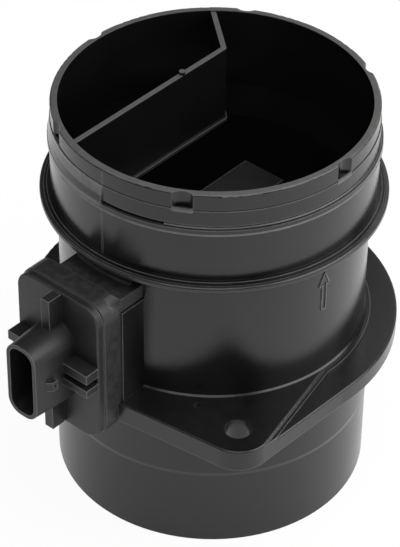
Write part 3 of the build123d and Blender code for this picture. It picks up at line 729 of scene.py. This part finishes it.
def seam_bar(radius, low, high, azimuth):
    """One straight length of parting-line flash on the duct's wall."""
    half = SEAM_WIDTH / (2 * radius)
    return swept_bar(radius - SINK, radius + SEAM_HEIGHT, low, high,
                     azimuth - half * 180.0 / pi, 2 * half * 180.0 / pi, 1, SEAM_SOFTEN)


def parting_seams():
    """The parting line of the mould, front and back, on the rim and the spigot."""
    runs = (
        # name, radius, low, high, azimuth
        ("seam_rim_front", RIM_RADIUS, BAND_TOP, RIM_TOP - SEAM_STOP, 0.0),
        ("seam_rim_rear", RIM_RADIUS, BAND_TOP, RIM_TOP - SEAM_STOP, 180.0),
        ("seam_spigot_front", OUTLET_WALL_RADIUS, COLLAR_LAND_TOP, BEAD_BOTTOM, 0.0),
        ("seam_spigot_rear", OUTLET_WALL_RADIUS, COLLAR_LAND_TOP, BEAD_BOTTOM, 180.0),
    )
    for name, radius, low, high, azimuth in runs:
        finished(name, seam_bar(radius, low, high, azimuth),
                 finishes["turned_plastic"])


# ---- flow arrow ----

def stroke(shape, first, last):
    """One raised line of the arrow, laid flat: x round the body, y up, z outwards."""
    start = Vector((*first, 0.0))
    run = Vector((*last, 0.0)) - start
    size = Matrix.Diagonal((run.length + ARROW_LINE, ARROW_LINE, ARROW_HEIGHT + SINK, 1.0))
    turn = Vector((1.0, 0.0, 0.0)).rotation_difference(run).to_matrix().to_4x4()
    place = Matrix.Translation(start + run / 2 + Vector((0.0, 0.0, (ARROW_HEIGHT - SINK) / 2)))
    made = bmesh.ops.create_cube(shape, size=1.0, matrix=place @ turn @ size)["verts"]
    upper = {e for v in made for e in v.link_edges
             if all(end.co.z > 0.0 for end in e.verts)}
    bmesh.ops.bevel(shape, geom=list(upper), offset=ARROW_SOFTEN, segments=2, profile=0.5,
                    affect="EDGES", material=-1)


def flow_arrow():
    """The plain outlined arrow that shows which way the air goes, raised from the body."""
    shape = bmesh.new()
    for side in (-1.0, 1.0):
        tip = (0.0, ARROW_TIP)
        barb = (side * ARROW_HEAD_HALF, ARROW_NECK - ARROW_BARB_DROP)
        neck = (side * ARROW_SHAFT_HALF, ARROW_NECK)
        foot = (side * ARROW_SHAFT_HALF, ARROW_FOOT)
        stroke(shape, tip, barb)
        stroke(shape, barb, neck)
        stroke(shape, neck, foot)
    stroke(shape, (-ARROW_SHAFT_HALF, ARROW_FOOT), (ARROW_SHAFT_HALF, ARROW_FOOT))
    for v in shape.verts:
        angle = radians(ARROW_AZIMUTH - 90.0) + v.co.x / BODY_RADIUS
        reach = BODY_RADIUS + v.co.z
        v.co = Vector((reach * cos(angle), reach * sin(angle), v.co.y))
    finished("flow_arrow", shape, finishes["duct_plastic"])


# ---- woven screen ----

def wavy_wire():
    """One wire across the whole screen: a small ring drawn out along a wavy path."""
    shape = bmesh.new()
    crossings = 2 * int(SCREEN_RADIUS / WEAVE_PITCH)
    ring = bmesh.ops.create_circle(shape, cap_ends=False, segments=WIRE_SIDES,
                                   radius=WIRE_RADIUS)["verts"]
    bmesh.ops.rotate(shape, verts=ring, cent=(0.0, 0.0, 0.0),
                     matrix=Matrix.Rotation(radians(90.0), 3, "Y"))
    side = 1.0
    bmesh.ops.translate(shape, verts=ring,
                        vec=(-crossings * WEAVE_PITCH / 2, 0.0, side * WEAVE_RISE))
    edges = shape.edges[:]
    for _ in range(crossings):
        grown = bmesh.ops.extrude_edge_only(shape, edges=edges)["geom"]
        ring = [g for g in grown if isinstance(g, bmesh.types.BMVert)]
        edges = [g for g in grown if isinstance(g, bmesh.types.BMEdge)]
        bmesh.ops.translate(shape, verts=ring, vec=(WEAVE_PITCH, 0.0, -2 * side * WEAVE_RISE))
        side = -side
    return shape


def woven_screen():
    """The woven wire screen in its flat rim, in the place of the solid one."""
    middle = SCREEN_BOTTOM + SCREEN_THICKNESS / 2
    inside = SCREEN_RADIUS - SCREEN_RIM_WIDTH / 2
    shape = wavy_wire()
    first = shape.verts[:] + shape.edges[:] + shape.faces[:]
    count = int(inside / WEAVE_PITCH)
    for number in [n for n in range(-count, count + 1) if n]:
        made = bmesh.ops.duplicate(shape, geom=first)["geom"]
        made = [g for g in made if isinstance(g, bmesh.types.BMVert)]
        flip = -1.0 if number % 2 else 1.0
        bmesh.ops.scale(shape, verts=made, vec=(1.0, 1.0, flip))
        bmesh.ops.translate(shape, verts=made, vec=(0.0, number * WEAVE_PITCH, 0.0))
    along = shape.verts[:] + shape.edges[:] + shape.faces[:]
    made = bmesh.ops.duplicate(shape, geom=along)["geom"]
    made = [g for g in made if isinstance(g, bmesh.types.BMVert)]
    bmesh.ops.rotate(shape, verts=made, cent=(0.0, 0.0, 0.0),
                     matrix=Matrix.Rotation(radians(90.0), 3, "Z"))
    bmesh.ops.scale(shape, verts=made, vec=(1.0, 1.0, -1.0))
    outside = [v for v in shape.verts if v.co.xy.length > inside]
    bmesh.ops.delete(shape, geom=outside, context="VERTS")
    ends = [e for e in shape.edges if len(e.link_faces) == 1]
    bmesh.ops.holes_fill(shape, edges=ends, sides=0)
    bmesh.ops.translate(shape, verts=shape.verts, vec=(0.0, 0.0, middle))
    mesh_piece = finished("screen_mesh", shape, finishes["screen_metal"], 60.0)
    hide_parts("wire_screen")
    rim = swept_bar(SCREEN_RADIUS - SCREEN_RIM_WIDTH, SCREEN_RADIUS, SCREEN_BOTTOM,
                    SCREEN_BOTTOM + SCREEN_THICKNESS, 0.0, 360.0, 120, SCREEN_RIM_SOFTEN)
    rim_piece = finished("screen_rim", rim, finishes["screen_metal"])
    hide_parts("wire_screen")


collar_rim()
parting_land()
bead_lips()
ridge_cap()
notch_lips()
frame_corner_fill()
parting_seams()
flow_arrow()
woven_screen()


# ---- floor, light and camera ----

FLOOR_HALF = 4.0
FLOOR_COLOUR = (0.86, 0.86, 0.855)
FLOOR_GLOW = 0.94
FLOOR_REFLECTED_GLOW = 0.45
ROOM_DIFFUSE = 0.35
ROOM_GLOSSY = 0.09

LIGHT_TARGET = Vector((0.0, -0.01, 0.055))
LIGHTS = (
    # name, azimuth, elevation, distance, size, power
    ("key_softbox", 30.0, 58.0, 1.1, 0.8, 3.5),
    ("right_softbox", 115.0, 38.0, 0.5, 0.5, 2.6),
    ("top_softbox", 40.0, 86.0, 1.1, 0.6, 2.0),
    ("left_softbox", -60.0, 50.0, 1.1, 0.8, 1.5),
    ("rear_softbox", 186.0, 42.0, 1.1, 0.8, 2.0),
)

CAMERA_PLACE = Vector((0.33619, -0.39363, 0.47194))
CAMERA_AIM = Vector((-0.00259, -0.00225, 0.05766))
CAMERA_ROLL = radians(0.69)
CAMERA_LENS = 163.47


def seen_rays(tree):
    """Two values: 1 for camera rays, and 1 for glossy and transmission rays."""
    path = tree.nodes.new("ShaderNodeLightPath")
    mirrored = math_node(tree, "MAXIMUM", path.outputs["Is Glossy Ray"],
                         path.outputs["Is Transmission Ray"])
    return path.outputs["Is Camera Ray"], mirrored


def make_floor():
    """A plain pale floor that looks white and keeps the object's soft shadow."""
    shape = bmesh.new()
    bmesh.ops.create_grid(shape, x_segments=1, y_segments=1, size=FLOOR_HALF)
    mesh = bpy.data.meshes.new("floor")
    shape.to_mesh(mesh)
    shape.free()
    floor = bpy.data.objects.new("floor", mesh)
    bpy.context.scene.collection.objects.link(floor)
    material, tree, shader = new_material("floor_paper")
    shader.inputs["Base Color"].default_value = (*FLOOR_COLOUR, 1.0)
    shader.inputs["Roughness"].default_value = 0.9
    shader.inputs["Specular IOR Level"].default_value = 0.1
    glow = tree.nodes.new("ShaderNodeEmission")
    blend = tree.nodes.new("ShaderNodeMixShader")
    direct, mirrored = seen_rays(tree)
    share = math_node(tree, "MAXIMUM", math_node(tree, "MULTIPLY", direct, FLOOR_GLOW),
                      math_node(tree, "MULTIPLY", mirrored, FLOOR_REFLECTED_GLOW))
    tree.links.new(share, blend.inputs["Fac"])
    tree.links.new(shader.outputs["BSDF"], blend.inputs[1])
    tree.links.new(glow.outputs["Emission"], blend.inputs[2])
    tree.links.new(blend.outputs["Shader"],
                   tree.nodes["Material Output"].inputs["Surface"])
    mesh.materials.append(material)


def make_room():
    """An even white room; reflections see it a little darker overhead."""
    world = bpy.data.worlds.new("room")
    bpy.context.scene.world = world
    world.use_nodes = True
    tree = world.node_tree
    background = tree.nodes["Background"]
    direct, mirrored = seen_rays(tree)
    shade = tree.nodes.new("ShaderNodeMix")
    shade.data_type = "FLOAT"
    shade.inputs["A"].default_value = ROOM_DIFFUSE
    shade.inputs["B"].default_value = ROOM_GLOSSY
    tree.links.new(mirrored, shade.inputs["Factor"])
    level = tree.nodes.new("ShaderNodeMix")
    level.data_type = "FLOAT"
    level.inputs["B"].default_value = 1.0
    tree.links.new(shade.outputs["Result"], level.inputs["A"])
    tree.links.new(direct, level.inputs["Factor"])
    tree.links.new(level.outputs["Result"], background.inputs["Strength"])
    background.inputs["Color"].default_value = (1.0, 1.0, 1.0, 1.0)


def direction(azimuth, elevation):
    """The unit vector towards an azimuth (0 is -Y, 90 is +X) and an elevation in degrees."""
    a = radians(azimuth)
    e = radians(elevation)
    return Vector((sin(a) * cos(e), -cos(a) * cos(e), sin(e)))


def make_lights():
    """Large soft lamps round the object."""
    for name, azimuth, elevation, distance, size, power in LIGHTS:
        lamp = bpy.data.lights.new(name, "AREA")
        lamp.shape = "SQUARE"
        lamp.size = size
        lamp.energy = power
        holder = bpy.data.objects.new(name, lamp)
        bpy.context.scene.collection.objects.link(holder)
        outward = direction(azimuth, elevation)
        holder.location = LIGHT_TARGET + outward * distance
        holder.rotation_mode = "QUATERNION"
        holder.rotation_quaternion = outward.to_track_quat("Z", "Y")


def make_camera():
    """The camera above the right front of the sensor."""
    lens = bpy.data.cameras.new("camera")
    lens.lens = CAMERA_LENS
    lens.sensor_width = 36.0
    lens.clip_start = 0.01
    lens.clip_end = 50.0
    camera = bpy.data.objects.new("camera", lens)
    bpy.context.scene.collection.objects.link(camera)
    camera.location = CAMERA_PLACE
    camera.rotation_mode = "QUATERNION"
    aim = (CAMERA_AIM - CAMERA_PLACE).to_track_quat("-Z", "Y")
    camera.rotation_quaternion = aim @ Quaternion((0.0, 0.0, 1.0), CAMERA_ROLL)
    bpy.context.scene.camera = camera


make_floor()
make_room()
make_lights()
make_camera()
bpy.context.scene.view_settings.view_transform = "Standard"
